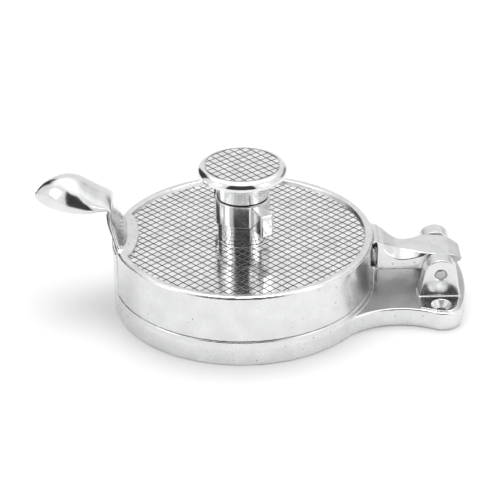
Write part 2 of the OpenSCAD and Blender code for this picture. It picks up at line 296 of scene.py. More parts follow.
def field_and_normal(field, points):
    """A field and its direction of steepest rise at many points."""
    value = field(points[:, 0], points[:, 1], points[:, 2])
    slope = np.empty(points.shape)
    for axis in range(3):
        moved = points.copy()
        moved[:, axis] += SLOPE_REACH
        slope[:, axis] = field(moved[:, 0], moved[:, 1], moved[:, 2]) - value
    slope /= np.maximum(np.linalg.norm(slope, axis=1), 1e-12)[:, None]
    return value, slope


# ------------------------------------------------------------- mesh building

def solid_mesh(name, verts, faces, normals=None, smooth_angle=None):
    """Object in metres from millimetre points, with smooth shading."""
    mesh = bpy.data.meshes.new(name)
    mesh.from_pydata((np.asarray(verts) * MM).tolist(), [],
                     [tuple(int(i) for i in f) for f in faces])
    mesh.validate()
    mesh.shade_smooth()
    if smooth_angle is not None:
        mesh.set_sharp_from_angle(angle=math.radians(smooth_angle))
    if normals is not None and len(mesh.vertices) == len(normals):
        mesh.normals_split_custom_set_from_vertices(normals.tolist())
    piece = bpy.data.objects.new(name, mesh)
    bpy.context.scene.collection.objects.link(piece)
    return piece


TURNED_SHARP, HANDLE_SHARP, WAFFLE_SHARP = 28, 50, 20


def lathe(name, profile, segments=160):
    """Closed turned piece: a closed outline of (radius, height) swept round Z.

    Points on the axis are merged, and an outline that never meets the axis
    makes a ring.
    """
    verts, rows = [], []
    for radius, height in profile:
        if radius < 1e-6:
            rows.append([len(verts)] * segments)
            verts.append((0, 0, height))
            continue
        rows.append(list(range(len(verts), len(verts) + segments)))
        for k in range(segments):
            a = 2 * math.pi * k / segments
            verts.append((radius * math.cos(a), radius * math.sin(a), height))
    faces = []
    for low, high in zip(rows, rows[1:] + rows[:1]):
        for k in range(segments):
            n = (k + 1) % segments
            loop = list(dict.fromkeys((low[k], low[n], high[n], high[k])))
            if len(loop) > 2:
                faces.append(loop)
    return solid_mesh(name, verts, faces, smooth_angle=TURNED_SHARP)


# ----------------------------------------------------------------- the lid

# Sections run past the axis, so that the axis isn't an edge of theirs.
PAST_AXIS = -5
LID_SECTION = rounded([
    (PAST_AXIS, CEILING_Z, 0), (BORE_R, CEILING_Z, 1.5), (BORE_R, LID_LOW, 0.4),
    (LID_R, LID_LOW, 0.4), (LID_R, LID_TOP, 1.5), (LID_R - RIM_W, LID_TOP, 0.5),
    (LID_R - RIM_W - 0.7, FIELD_Z - WAFFLE_SEAT, 0.4), (PAST_AXIS, FIELD_Z - WAFFLE_SEAT, 0)])

ARM_PAD_X = LID_R + 2.3
ARM_PAD_TOP = LID_TOP - 1.2
BAR_LOW = PIN_Z - 1.5
NOSE_X = PIN_X + 11.3
# Stations of the arm's top: x and z of the top face, and the width and the
# depth of the scoops along its two edges.
ARM = np.array([
    (61.5, 34.1, -0.6, 0.3), (62.8, 34.1, -0.2, 0.3), (64, 33.4, 0.4, 1.3),
    (66, 32.5, 1.55, 3.2), (68, 31.3, 2.9, 4), (70, 30.1, 4, 4.15), (72, 29, 4.4, 3.95),
    (74, 28.2, 4.55, 3.65), (76, 27.9, 4.45, 3.3), (78, 27.8, 4, 3), (80, 27.75, 3.3, 2.6),
    (83, 27.75, 1.65, 1.8), (85.5, 27.7, 0.5, 1.2), (87.5, 27.7, -0.2, 0.6),
    (89, 27.65, -0.6, 0.6)])
ARM_STEPS = 5
ARM_EDGE, ARM_FILLET, ARM_ROOT_FILLET, SCOOP_EDGE = 0.5, 1.2, 1.6, 0.25
# The dents in both sides of the nose
DENT_R, DENT_X, DENT_Z, DENT_TILT = 7.0, PIN_X + 8, PIN_Z + 4.2, math.radians(50)


def arm_table():
    """The arm's stations drawn out to a smooth, closely spaced table."""
    slope = np.gradient(ARM, ARM[:, 0], axis=0)
    rows = []
    for p, q, dp, dq in zip(ARM, ARM[1:], slope, slope[1:]):
        for t in np.arange(ARM_STEPS) / ARM_STEPS:
            run = q[0] - p[0]
            rise = 3 * t ** 2 - 2 * t ** 3
            rows.append(p + (q - p) * rise + run * (dp * (t - 2 * t ** 2 + t ** 3)
                                                    + dq * (t ** 3 - t ** 2)))
            rows[-1][0] = p[0] + run * t
    return np.array(rows + [ARM[-1]])


ARM_TABLE = arm_table()
ARM_TOP = [(x, z) for x, z, *_ in ARM_TABLE if LID_R + 1.3 <= x <= 87.5]
ARM_SIDE = rounded([
    (LID_R - 3, BAR_LOW, 0), (LID_R - 3, ARM_PAD_TOP, 0), *[(x, z, 0) for x, z in ARM_TOP],
    (PIN_X, PIN_Z + KNUCKLE_R, 0), (PIN_X + 4.5, PIN_Z + KNUCKLE_R - 0.3, 0),
    (NOSE_X, PIN_Z + 3, 2.5), (NOSE_X, PIN_Z - 1, 0), (PIN_X + 8.4, PIN_Z - 5.2, 0),
    (PIN_X, PIN_Z - KNUCKLE_R, 0), (PIN_X - 8, BAR_LOW, 0)])


def arm_field(x, y, z):
    """The hinge arm: a bar, the knuckle round the pin and the nose behind it."""
    side = polygon_field(x, z, ARM_SIDE)
    side = blend(side, np.hypot(x - PIN_X, z - PIN_Z) - KNUCKLE_R, 0.8)
    beside = np.abs(y) - ARM_HALF
    arm = slab(side, beside, ARM_EDGE)
    top, width, depth = (np.interp(x, ARM_TABLE[:, 0], ARM_TABLE[:, k]) for k in (1, 2, 3))
    scoop = ((beside + width) * depth + (z - top) * width) / np.hypot(width, depth)
    arm = meet(arm, scoop * 0.9, SCOOP_EDGE)
    toward = beside * math.cos(DENT_TILT) + (z - DENT_Z) * math.sin(DENT_TILT) - DENT_R
    arm = cut(arm, np.hypot(x - DENT_X, toward) - DENT_R, 0.3)
    pad = np.maximum(np.maximum(LID_R - 3 - x, x - ARM_PAD_X), np.maximum(z - PIN_Z, LID_LOW - z))
    return blend(arm, slab(pad, beside, 0.6), ARM_FILLET)


# The level land at the handle's root, and the flat pad on the wall under it
LAND_R, LAND_X, LAND_HALF, LAND_CORNER, LAND_EDGE = 64.0, -49.3, 22.0, 4, 0.5
PILASTER_HALF, PILASTER_PROUD, PILASTER_EDGE = 17.0, 0.6, 0.4
# How deep added shapes are sunk into the casting
SUNK = 2


def lid_field(x, y, z):
    """The lid's casting, without its neck and its handle."""
    r = np.hypot(x, y)
    lid = polygon_field(r, z, LID_SECTION)
    land = meet(np.hypot(x - LAND_X + LAND_R, y) - LAND_R, np.abs(y) - LAND_HALF,
                LAND_CORNER)
    land = np.maximum(land, r - LID_R + 1.5)
    land = slab(land, np.maximum(z - LID_TOP, FIELD_Z - SUNK - z), LAND_EDGE)
    lid = blend(lid, land, LAND_EDGE)
    pilaster = np.maximum(np.abs(y) - PILASTER_HALF, x + BORE_R - 10)
    height = np.maximum(LID_LOW + 0.2 - z, z - LID_TOP + 1.6)
    shell = np.maximum(r - LID_R - PILASTER_PROUD, BORE_R + 1 - r)
    lid = blend(lid, slab(np.maximum(pilaster, height), shell, PILASTER_EDGE), 0.3)
    lid = blend(lid, arm_field(x, y, z), ARM_ROOT_FILLET)
    lid = cut(lid, r - STEM_R - RUN)
    return cut(lid, np.hypot(x - PIN_X, z - PIN_Z) - PIN_R - RUN, CHAMFER)


LID_SPLIT_X = 65.0
SPLIT_HALF = 1.0


def first_part(field, x, split):
    """Shape up to just past a split, a hair smaller where both parts overlap."""
    shrink = SPLIT_STEP * np.clip((x - split) / SPLIT_HALF, 0, 1)
    return np.maximum(field + shrink, x - split - SPLIT_HALF)


def second_part(field, x, split):
    """Shape from just before a split, a hair smaller where both parts overlap."""
    shrink = SPLIT_STEP * np.clip((split - x) / SPLIT_HALF, 0, 1)
    return np.maximum(field + shrink, split - SPLIT_HALF - x)


def lid_round(x, y, z):
    """The round part of the lid, up to just past where the arm leaves it."""
    return first_part(lid_field(x, y, z), x, LID_SPLIT_X)


def lid_arm(x, y, z):
    """The rest of the arm, which overlaps the round part a little."""
    return second_part(lid_field(x, y, z), x, LID_SPLIT_X)


def ramp_height(x, y, start, span, depth):
    """Height of a cam surface below its top, and the field of its sector."""
    angle = np.degrees(np.arctan2(y, x)) - start
    angle = (angle + 180) % 360 - 180
    low = -depth * (1 - np.clip(angle / span, 0, 1))
    a, b = math.radians(start), math.radians(start + span)
    first = x * math.sin(a) - y * math.cos(a)
    last = y * math.cos(b) - x * math.sin(b)
    return low, np.maximum(first, last)


def ramps_field(x, y, z, ahead, depth):
    """The space above both cam ramps, with z counted from the neck's top."""
    fields = []
    for half in (0, 180):
        low, sector = ramp_height(x, y, CAM_START + half + ahead, CAM_SPAN - ahead, depth)
        fields.append(np.maximum((low - z) * 0.9, sector))
    return np.minimum(*fields)


NOTCH_HALF, NOTCH_DROP, NOTCH_LAND = 3.3, 1.3, 2.0


def neck_field(x, y, z):
    """The lid's neck with its two cam ramps and the notch in front."""
    r = np.hypot(x, y)
    neck = slab(r - NECK_R, np.maximum(z - NECK_TOP, FIELD_Z - SUNK - z), 0.25)
    foot = slab(r - NECK_R - 0.1, np.maximum(z - FIELD_Z + 0.1, FIELD_Z - SUNK - z), 0.05)
    neck = blend(neck, foot, 0.5)
    neck = cut(neck, ramps_field(x, y, z - NECK_TOP, 0, CAM_RISE), 0.25)
    notch = np.maximum(np.abs(x) - NOTCH_HALF, NECK_TOP - NOTCH_DROP - z)
    neck = cut(neck, np.maximum(notch, y + STEM_R + NOTCH_LAND), CHAMFER)
    return cut(neck, r - STEM_R - RUN, CHAMFER)


RING_EDGE, WING_CORNER, WING_EDGE, WING_FILLET = 0.3, 1.0, 0.7, 1.4


def ring_field(x, y, z):
    """The stop ring with its two wings and the ramps under it."""
    r = np.hypot(x, y)
    foot = NECK_TOP + CAM_GAP
    ring = slab(r - RING_R, np.maximum(z - RING_TOP, foot - z), RING_EDGE)
    tooth = ramps_field(x, y, z - NECK_TOP - CAM_GAP, CAM_AHEAD,
                        CAM_RISE * (CAM_SPAN - CAM_AHEAD) / CAM_SPAN)
    tooth = np.maximum(tooth, z - RING_TOP + 1)
    ring = blend(ring, meet(tooth, r - RING_R, RING_EDGE), CHAMFER)
    a = math.radians(WING_ANGLE)
    along = x * math.cos(a) + y * math.sin(a)
    beside = np.abs(y * math.cos(a) - x * math.sin(a)) - WING_W / 2
    wing = meet(np.abs(along) - WING_REACH, beside, WING_CORNER)
    wing = slab(wing, np.maximum(z - RING_TOP + 0.15, foot + 0.05 - z), WING_EDGE)
    ring = blend(ring, wing, WING_FILLET)
    return cut(ring, r - RING_HOLE_R, RING_EDGE)


# ----------------------------------------------------------------- the base

WAIST_R = (WAIST_X ** 2 + WAIST_HALF ** 2 - BASE_R ** 2) / (2 * (BASE_R - WAIST_HALF))
WAIST_C = (WAIST_X, WAIST_HALF + WAIST_R)
CORNER_C = (PIN_X + 0.5, WAIST_C[1] - math.sqrt((WAIST_R + CORNER_R) ** 2
                                                - (PIN_X + 0.5 - WAIST_X) ** 2))
END_RUN = TAIL_END - CORNER_C[0]
END_R = ((END_RUN ** 2 + CORNER_C[1] ** 2 - CORNER_R ** 2)
         / (2 * (END_RUN - CORNER_R)))
END_C = (TAIL_END - END_R, 0.0)


def past(x, y, a, b):
    """True on the left of the line from a to b."""
    return (b[0] - a[0]) * (y - a[1]) - (b[1] - a[1]) * (x - a[0]) > 0


def outline_field(x, y):
    """The base's outline: round rim, hollow waist, corner and end arc."""
    y = np.abs(y)
    rim = np.hypot(x, y) - BASE_R
    waist = WAIST_R - np.hypot(x - WAIST_C[0], y - WAIST_C[1])
    corner = np.hypot(x - CORNER_C[0], y - CORNER_C[1]) - CORNER_R
    end = np.hypot(x - END_C[0], y) - END_R
    field = np.where(past(x, y, (0, 0), WAIST_C), rim, waist)
    beyond = past(x, y, WAIST_C, CORNER_C) & ~past(x, y, (0, 0), WAIST_C)
    field = np.where(beyond, corner, field)
    return np.where(~past(x, y, END_C, CORNER_C) & (x > CORNER_C[0]), end, field)


def touch(centre, radius, point, side):
    """Where the tangent from a point touches a circle."""
    away = (point[0] - centre[0], point[1] - centre[1])
    a = math.atan2(away[1], away[0]) + side * math.acos(radius / math.hypot(*away))
    return centre[0] + radius * math.cos(a), centre[1] + radius * math.sin(a)


BASE_SECTION = rounded([
    (PAST_AXIS, 0, 0), (BASE_R, 0, 0.8), (BASE_R, BASE_H, 0.7), (BORE_R, BASE_H, 0.4),
    (BORE_R, FLOOR_T - WAFFLE_SEAT, 1), (PAST_AXIS, FLOOR_T - WAFFLE_SEAT, 0)])
PIN_C = (PIN_X, PIN_Z)
EAR_FEET = ((PIN_X - 10.2, TAIL_T - 1), (PIN_X + 9.8, TAIL_T - 1))
EAR_SIDE = [EAR_FEET[0], touch(PIN_C, EAR_R, EAR_FEET[0], -1), PIN_C,
            touch(PIN_C, EAR_R, EAR_FEET[1], 1), EAR_FEET[1]]
PAD_X, PAD_INSET, PAD_EDGE = (PIN_X - 10.3, PIN_X + 8.9), 1.3, 0.25
TAIL_EDGE, EAR_EDGE, EAR_FILLET = 0.8, 0.6, 0.9


def base_field(x, y, z):
    """The base's casting: tray, tail, ears, screw pads and holes."""
    r = np.hypot(x, y)
    base = polygon_field(r, z, BASE_SECTION)
    outline = outline_field(x, y)
    tail = slab(outline, np.maximum(z - TAIL_T, -z), TAIL_EDGE)
    tail = cut(tail, np.maximum(r - BORE_R - 1, FLOOR_T - 1 - z))
    base = blend(base, tail, TAIL_EDGE)
    pad = np.maximum(np.maximum(PAD_X[0] - x, x - PAD_X[1]), EARS_HALF - 1 - np.abs(y))
    pad = slab(np.maximum(pad, outline + PAD_INSET),
               np.maximum(z - TAIL_T - PAD_H, 1 - z), PAD_EDGE)
    base = blend(base, pad, PAD_EDGE)
    ear = np.minimum(polygon_field(x, z, EAR_SIDE),
                     np.hypot(x - PIN_X, z - PIN_Z) - EAR_R)
    middle, half = (EARS_HALF + EAR_GAP_HALF) / 2, (EARS_HALF - EAR_GAP_HALF) / 2
    ear = slab(ear, np.abs(np.abs(y) - middle) - half, EAR_EDGE)
    base = blend(base, ear, EAR_FILLET)
    from_hole = np.hypot(x - PIN_X, np.abs(y) - HOLE_HALF)
    sink_z = TAIL_T + PAD_H - (SINK_R - HOLE_R)
    hole = (from_hole - HOLE_R - np.clip(z - sink_z, 0, SINK_R - HOLE_R)) * 0.75
    hole = np.maximum(hole, z - TAIL_T - 3)
    base = cut(base, hole, 0.15)
    bevel = np.clip(np.abs(y) - EARS_HALF + 0.55, 0, 0.6)
    bore = (np.hypot(x - PIN_X, z - PIN_Z) - PIN_R - 0.03 - bevel) * 0.75
    return cut(base, np.maximum(bore, np.abs(y) - EARS_HALF - 1))


BASE_SPLIT_X = 71.0


def base_round(x, y, z):
    """The round tray, up to just past the waist."""
    return first_part(base_field(x, y, z), x, BASE_SPLIT_X)


def base_tail(x, y, z):
    """The hinge end of the tail, which overlaps the tray a little."""
    return second_part(base_field(x, y, z), x, BASE_SPLIT_X)


# --------------------------------------------------------------- the handle

# Stations from the root to the tip: x and z of the two side edges, half width,
# height of the arch between them, and the direction of the arch in degrees.
HANDLE = [
    (-57.3, 33.0, 16.2, 2.9, 10), (-58.2, 36.5, 16.0, 2.8, 10),
    (-59.8, 42.0, 14.4, 2.2, 12), (-61.0, 47.0, 12.4, 1.3, 12),
    (-61.3, 51.0, 11.0, 0.9, 14), (-61.35, 52.6, 10.5, 0.9, 35),
    (-62.2, 53.3, 10.5, 1.7, 62), (-64.4, 53.6, 11.1, 3.4, 76),
    (-67.5, 53.8, 12.2, 5.1, 84), (-71.5, 53.8, 13.4, 8.1, 90),
    (-76.0, 53.9, 13.5, 11.1, 90), (-80.5, 54.0, 12.8, 12.4, 90),
    (-85.0, 54.1, 10.9, 12.1, 90), (-89.0, 54.3, 8.4, 10.6, 90),
    (-92.4, 54.6, 5.5, 8.3, 90), (-95.0, 55.2, 3.2, 5.2, 90),
    (-96.5, 56.0, 1.7, 2.3, 90)]
SHELL_T = 2.5
EDGE_BULGE = 0.32
FLARE_R = 2.2
TIP_TURN, TIP_REACH = 26, 0.5
SPAN_STEPS, ARCH_STEPS, EDGE_STEPS = 9, 56, 8


def curve_through(rows, per_span):
    """Smooth curve through the rows of a table (centripetal Catmull-Rom)."""
    rows = np.array(rows, float)
    rows = np.vstack([2 * rows[0] - rows[1], rows, 2 * rows[-1] - rows[-2]])
    result = []
    for p0, p1, p2, p3 in zip(rows, rows[1:], rows[2:], rows[3:]):
        knots = np.cumsum([0] + [math.sqrt(np.linalg.norm((b - a)[:4]))
                                 for a, b in ((p0, p1), (p1, p2), (p2, p3))])
        for t in np.linspace(knots[1], knots[2], per_span, endpoint=False):
            a1 = mix(p0, p1, knots[0], knots[1], t)
            a2 = mix(p1, p2, knots[1], knots[2], t)
            a3 = mix(p2, p3, knots[2], knots[3], t)
            b1, b2 = mix(a1, a2, knots[0], knots[2], t), mix(a2, a3, knots[1], knots[3], t)
            result.append(mix(b1, b2, knots[1], knots[2], t))
    result.append(rows[-2])
    return np.array(result)


def mix(a, b, start, end, t):
    """The point a at start and b at end, drawn on or in to t."""
    return a + (b - a) * ((t - start) / (end - start))


def handle_loop(station):
    """One cross-section of the handle's shell, as a closed loop of points."""
    x, z, half, height, direction = station
    thick = min(SHELL_T, 0.6 * half)
    t = np.linspace(0, math.pi, ARCH_STEPS)
    outer = np.stack([half * np.cos(t), height * np.sin(t)], 1)
    slope = np.stack([height * np.cos(t), half * np.sin(t)], 1)
    slope /= np.linalg.norm(slope, axis=1)[:, None]
    inner = outer - slope * thick
    edge = np.linspace(0, math.pi, EDGE_STEPS + 2)[1:-1]
    share, bulge = (1 - np.cos(edge)) / 2, -EDGE_BULGE * thick * np.sin(edge) ** 0.8
    far_edge = outer[-1] + (inner[-1] - outer[-1]) * share[:, None]
    near_edge = outer[0] + (inner[0] - outer[0]) * share[:, None]
    far_edge[:, 1] += bulge
    near_edge[:, 1] += bulge
    flat = np.vstack([outer, far_edge, inner[::-1], near_edge[::-1]])
    a = math.radians(direction)
    loop = np.stack([x + flat[:, 1] * math.cos(a), flat[:, 0],
                     z + flat[:, 1] * math.sin(a)], 1)
    above = np.clip(loop[:, 2] - LID_TOP, 0, FLARE_R)
    flare = FLARE_R - np.sqrt(FLARE_R ** 2 - (FLARE_R - above) ** 2)
    facing = np.zeros((len(loop), 2))
    facing[:ARCH_STEPS] = np.stack([slope[:, 1], slope[:, 0]], 1)
    facing[ARCH_STEPS:ARCH_STEPS + EDGE_STEPS] = (0, -1)
    facing[-EDGE_STEPS:] = (0, 1)
    loop[:, :2] += facing * flare[:, None]
    return loop


def make_handle():
    """The thumb handle: an upright plate that bends over into a spoon."""
    stations = curve_through(HANDLE, SPAN_STEPS)
    loops = [handle_loop(s) for s in stations]
    last = stations[-1]
    for k in (1, 2, 3):
        a = math.radians(TIP_TURN * k)
        share = math.cos(a)
        loops.append(handle_loop((last[0] - TIP_REACH * math.sin(a),
                                  last[1] + last[3] * (1 - share) / 2,
                                  last[2] * share, last[3] * share, last[4])))
    count = len(loops[0])
    verts = np.vstack(loops)
    faces = []
    for i in range(len(loops) - 1):
        for k in range(count):
            n = (k + 1) % count
            faces.append((i * count + k, i * count + n,
                          (i + 1) * count + n, (i + 1) * count + k))
    for start, flip in ((0, True), (len(verts) - count, False)):
        ring = ([*range(start, start + ARCH_STEPS)],
                [*range(start + count - 1, start + ARCH_STEPS - 1, -1)])
        outer = ring[0]
        inner = ring[1][EDGE_STEPS:-EDGE_STEPS]
        near, far = ring[1][:EDGE_STEPS], ring[1][-EDGE_STEPS:]
        caps = [(outer[k], outer[k + 1], inner[k + 1], inner[k])
                for k in range(ARCH_STEPS - 1)]
        caps += [[outer[0], inner[0], *near[::-1]], [outer[-1], *far[::-1], inner[-1]]]
        faces += [list(f)[::-1] if flip else list(f) for f in caps]
    return solid_mesh("lid_handle", verts, faces, smooth_angle=HANDLE_SHARP)


# ------------------------------------------------------------ waffle fields

EDGE_HALVINGS = 24


def waffle(name, radius, top, turn, facing, hole, root):
    """A round plate of small squares between crossed grooves.

    Only its top and a little of its thickness show: it stands root deep in
    the piece under it. facing is 1 for a field that looks up, -1 for down.
    """
    lines, heights = [], []
    reach = int(radius / GROOVE_PITCH) + 2
    for i in range(-reach, reach + 1):
        for offset, sunk in ((-GROOVE_TOP_HALF, 0), (-GROOVE_FLOOR_HALF, 1),
                             (GROOVE_FLOOR_HALF, 1), (GROOVE_TOP_HALF, 0)):
            lines.append((i + 0.5) * GROOVE_PITCH + offset)
            heights.append(-GROOVE_DEPTH * sunk)
    lines, heights = np.array(lines), np.array(heights)
    a = math.radians(turn)
    u, v = np.meshgrid(lines, lines, indexing="ij")
    depth = np.minimum(*np.meshgrid(heights, heights, indexing="ij"))
    r = np.hypot(u, v)
    inside = (r < radius) & (r > hole)
    verts, index, edges = [], {}, {}

    def corner(i, j):
        if (i, j) not in index:
            index[i, j] = len(verts)
            verts.append((u[i, j], v[i, j], depth[i, j]))
        return index[i, j]

    def crossing(p, q):
        key = (min(p, q), max(p, q))
        if key not in edges:
            start, end = (np.array((u[c], v[c], depth[c])) for c in key)
            low, high = (0.0, 1.0) if inside[key[0]] else (1.0, 0.0)
            for _ in range(EDGE_HALVINGS):
                middle = (low + high) / 2
                point = start + (end - start) * middle
                if hole < math.hypot(point[0], point[1]) < radius:
                    low = middle
                else:
                    high = middle
            edges[key] = len(verts)
            verts.append(tuple(start + (end - start) * low))
        return edges[key]

    faces, border = [], []
    for i in range(len(lines) - 1):
        for j in range(len(lines) - 1):
            ring = [(i, j), (i + 1, j), (i + 1, j + 1), (i, j + 1)]
            kept = [inside[c] for c in ring]
            if not any(kept):
                continue
            loop, cuts = [], []
            for k, c in enumerate(ring):
                n = ring[(k + 1) % 4]
                if inside[c]:
                    loop.append(corner(*c))
                if inside[c] != inside[n]:
                    loop.append(crossing(c, n))
                    cuts.append((loop[-1], inside[c]))
            if len(loop) > 2:
                faces.append(loop)
            if len(cuts) == 2:
                leaving = [c for c, out in cuts if out][0]
                entering = [c for c, out in cuts if not out][0]
                border.append((leaving, entering))
    count = len(verts)
    verts = np.array(verts)
    under = verts.copy()
    under[:, 2] = -GROOVE_DEPTH - root
    verts = np.vstack([verts, under])
    faces += [[i + count for i in f[::-1]] for f in faces]
    faces += [[q, p, p + count, q + count] for p, q in border]
    x = verts[:, 0] * math.cos(a) - verts[:, 1] * math.sin(a)
    y = verts[:, 0] * math.sin(a) + verts[:, 1] * math.cos(a)
    verts = np.stack([x, y, top + facing * verts[:, 2]], 1)
    if facing < 0:
        faces = [f[::-1] for f in faces]
    return solid_mesh(name, verts, faces, smooth_angle=WAFFLE_SHARP)


# ------------------------------------------------------------ turned pieces

def make_knob():
    """The palm knob, with a shallow pocket for its waffle disc."""
    head_r = (KNOB_BOX[1][0] - KNOB_BOX[0][0]) / 2
    skirt_low, skirt_r, hole_top = KNOB_BOX[0][2], 12.45, STEM_BOX[1][2] + 0.2
    under, edge_r, fillet, disc_r = KNOB_TOP - 4.1, 3.5, 4.0, 17.6
    arc = [(head_r - edge_r + edge_r * math.sin(a), KNOB_TOP - edge_r + edge_r * math.cos(a))
           for a in np.radians(np.linspace(0, 98, 22))]
    hollow = [(skirt_r + fillet - fillet * math.sin(a), under - fillet + fillet * math.cos(a))
              for a in np.radians(np.linspace(4, 90, 12))]
    profile = [(0, KNOB_TOP - GROOVE_DEPTH - 0.2), (disc_r - 0.35, KNOB_TOP - GROOVE_DEPTH - 0.2),
               (disc_r - 0.3, KNOB_TOP - 0.32), (disc_r, KNOB_TOP - 0.3),
               (disc_r + 0.05, KNOB_TOP), *arc, (head_r - 1.2, under), *hollow,
               (skirt_r, skirt_low + 0.35), (skirt_r - 0.35, skirt_low),
               (STEM_R + 0.02, skirt_low), (STEM_R + 0.02, hole_top), (0, hole_top)]
    return lathe("knob_body", profile)


def make_stem():
    """The plunger's stem with bevelled ends and the tapped hole below."""
    low, high = STEM_BOX[0][2], STEM_BOX[1][2]
    bevel, hole_r, hole_l = 0.5, 2.52, 13.0
    profile = [(0, high), (0, low + hole_l), (hole_r, low + hole_l), (hole_r, low + 0.3),
               (hole_r + 0.3, low), (STEM_R - bevel, low), (STEM_R, low + bevel),
               (STEM_R, high - bevel), (STEM_R - bevel, high)]
    return lathe("stem_rod", profile[::-1], 96)


def make_washer():
    """The thin washer under the knob."""
    outer, inner = (WASHER_BOX[1][0] - WASHER_BOX[0][0]) / 2, STEM_R + 0.3
    low, high = WASHER_BOX[0][2], WASHER_BOX[1][2]
    profile = [(inner, low), (outer - 0.1, low), (outer, low + 0.1),
               (outer, high - 0.1), (outer - 0.1, high), (inner, high)]
    return lathe("washer_disc", profile, 128)


def make_plate():
    """The press plate, with a seat for the stem and a pocket below."""
    low, high = PLATE_BOX[0][2], PLATE_BOX[1][2]
    edge, seat = PLATE_BOX[1][0], STEM_BOX[0][2]
    pocket = low + WAFFLE_SEAT
    profile = [(2.7, seat), (2.7, low + 2.4), (5.1, low + 0.05), (5.1, pocket),
               (edge - 1.2, pocket), (edge - 1.2, low), (edge - 0.4, low),
               (edge, low + 0.4), (edge, high - 0.4), (edge - 0.4, high),
               (STEM_R + 0.02, high), (STEM_R + 0.02, seat)]
    return lathe("plate_disc", profile, 192)


def make_pin():
    """The hinge pin, with bevelled and slightly domed ends."""
    half, bevel = PIN_BOX[1][1], 0.45
    dome = [(PIN_R - bevel, half - 0.06), (PIN_R * 0.45, half - 0.01), (0, half)]
    body = [(r, -h) for r, h in dome[::-1]] + [(PIN_R, bevel - half), (PIN_R, half - bevel)]
    pin = lathe("pin_rod", body + dome, 64)
    turn = Matrix.Translation(Vector((PIN_X, 0, PIN_Z)) * MM) @ Matrix.Rotation(
        math.radians(90), 4, "X")
    pin.data.transform(turn)
    return pin


# --------------------------------------------------------------- materials

class Graph:
    """Short calls for building a node tree."""

    def __init__(self, tree):
        self.tree = tree

    def join(self, value, socket):
        """Links a socket to another, or sets its plain value."""
        if isinstance(value, bpy.types.NodeSocket):
            self.tree.links.new(value, socket)
        else:
            socket.default_value = value

    def add(self, kind, **values):
        """A node with properties and inputs set; a socket value is linked."""
        node = self.tree.nodes.new(kind)
        for key, value in values.items():
            if hasattr(node, key) and key not in node.inputs:
                setattr(node, key, value)
            else:
                self.join(value, node.inputs[key.replace("_", " ")])
        return node

    def math(self, operation, a, b):
        """A math node's result."""
        node = self.add("ShaderNodeMath", operation=operation)
        self.join(a, node.inputs[0])
        self.join(b, node.inputs[1])
        return node.outputs[0]

    def ramp(self, value, low, high, start=0.0, end=1.0):
        """Maps low..high of a value smoothly to start..end."""
        node = self.add("ShaderNodeMapRange", interpolation_type="SMOOTHSTEP")
        for socket, number in zip(node.inputs[:5], (value, low, high, start, end)):
            self.join(number, socket)
        return node.outputs[0]

    def split(self, vector):
        """The x, y and z of a vector."""
        node = self.add("ShaderNodeSeparateXYZ")
        self.join(vector, node.inputs[0])
        return node.outputs


class Nodes(Graph):
    """The nodes of one new material."""

    def __init__(self, name):
        self.material = bpy.data.materials.new(name)
        self.material.use_nodes = True
        super().__init__(self.material.node_tree)
        self.shader = self.tree.nodes["Principled BSDF"]
        self.place = self.add("ShaderNodeTexCoord").outputs["Object"]

    def stretched(self, scale):
        """Object coordinates scaled along each axis."""
        node = self.add("ShaderNodeVectorMath", operation="MULTIPLY")
        self.join(self.place, node.inputs[0])
        node.inputs[1].default_value = scale
        return node.outputs[0]

    def noise(self, size, detail, roughness, along=(1, 1, 1)):
        """Noise whose lumps are about size millimetres across."""
        node = self.add("ShaderNodeTexNoise", Vector=self.stretched(along),
                        Scale=1 / (size * MM), Detail=detail, Roughness=roughness)
        return node.outputs["Fac"]

    def mix(self, share, a, b):
        """Two colours mixed."""
        node = self.add("ShaderNodeMix", data_type="RGBA")
        self.join(share, node.inputs[0])
        self.join(a, node.inputs[6])
        self.join(b, node.inputs[7])
        return node.outputs[2]

    def bump(self, height, depth, normal=None):
        """A bump of that many millimetres on top of another."""
        node = self.add("ShaderNodeBump", Strength=1.0, Distance=depth * MM, Height=height)
        if normal is not None:
            self.join(normal, node.inputs["Normal"])
        return node.outputs["Normal"]

    def pits(self, spacing, size, share):
        """1 in small round pits, which only some of the places have."""
        cells = self.add("ShaderNodeTexVoronoi", Vector=self.place,
                         Scale=1 / (spacing * MM), Randomness=1.0)
        hit = self.ramp(cells.outputs["Distance"], size * 0.5, size, 1.0, 0.0)
        chosen = self.add("ShaderNodeSeparateColor", Color=cells.outputs["Color"])
        return self.math("MULTIPLY", hit,
                         self.math("LESS_THAN", chosen.outputs[0], share))


def grey(value, tint=0.0):
    """A grey, a touch cooler by tint."""
    return (value * (1 - tint), value, value * (1 + tint), 1.0)


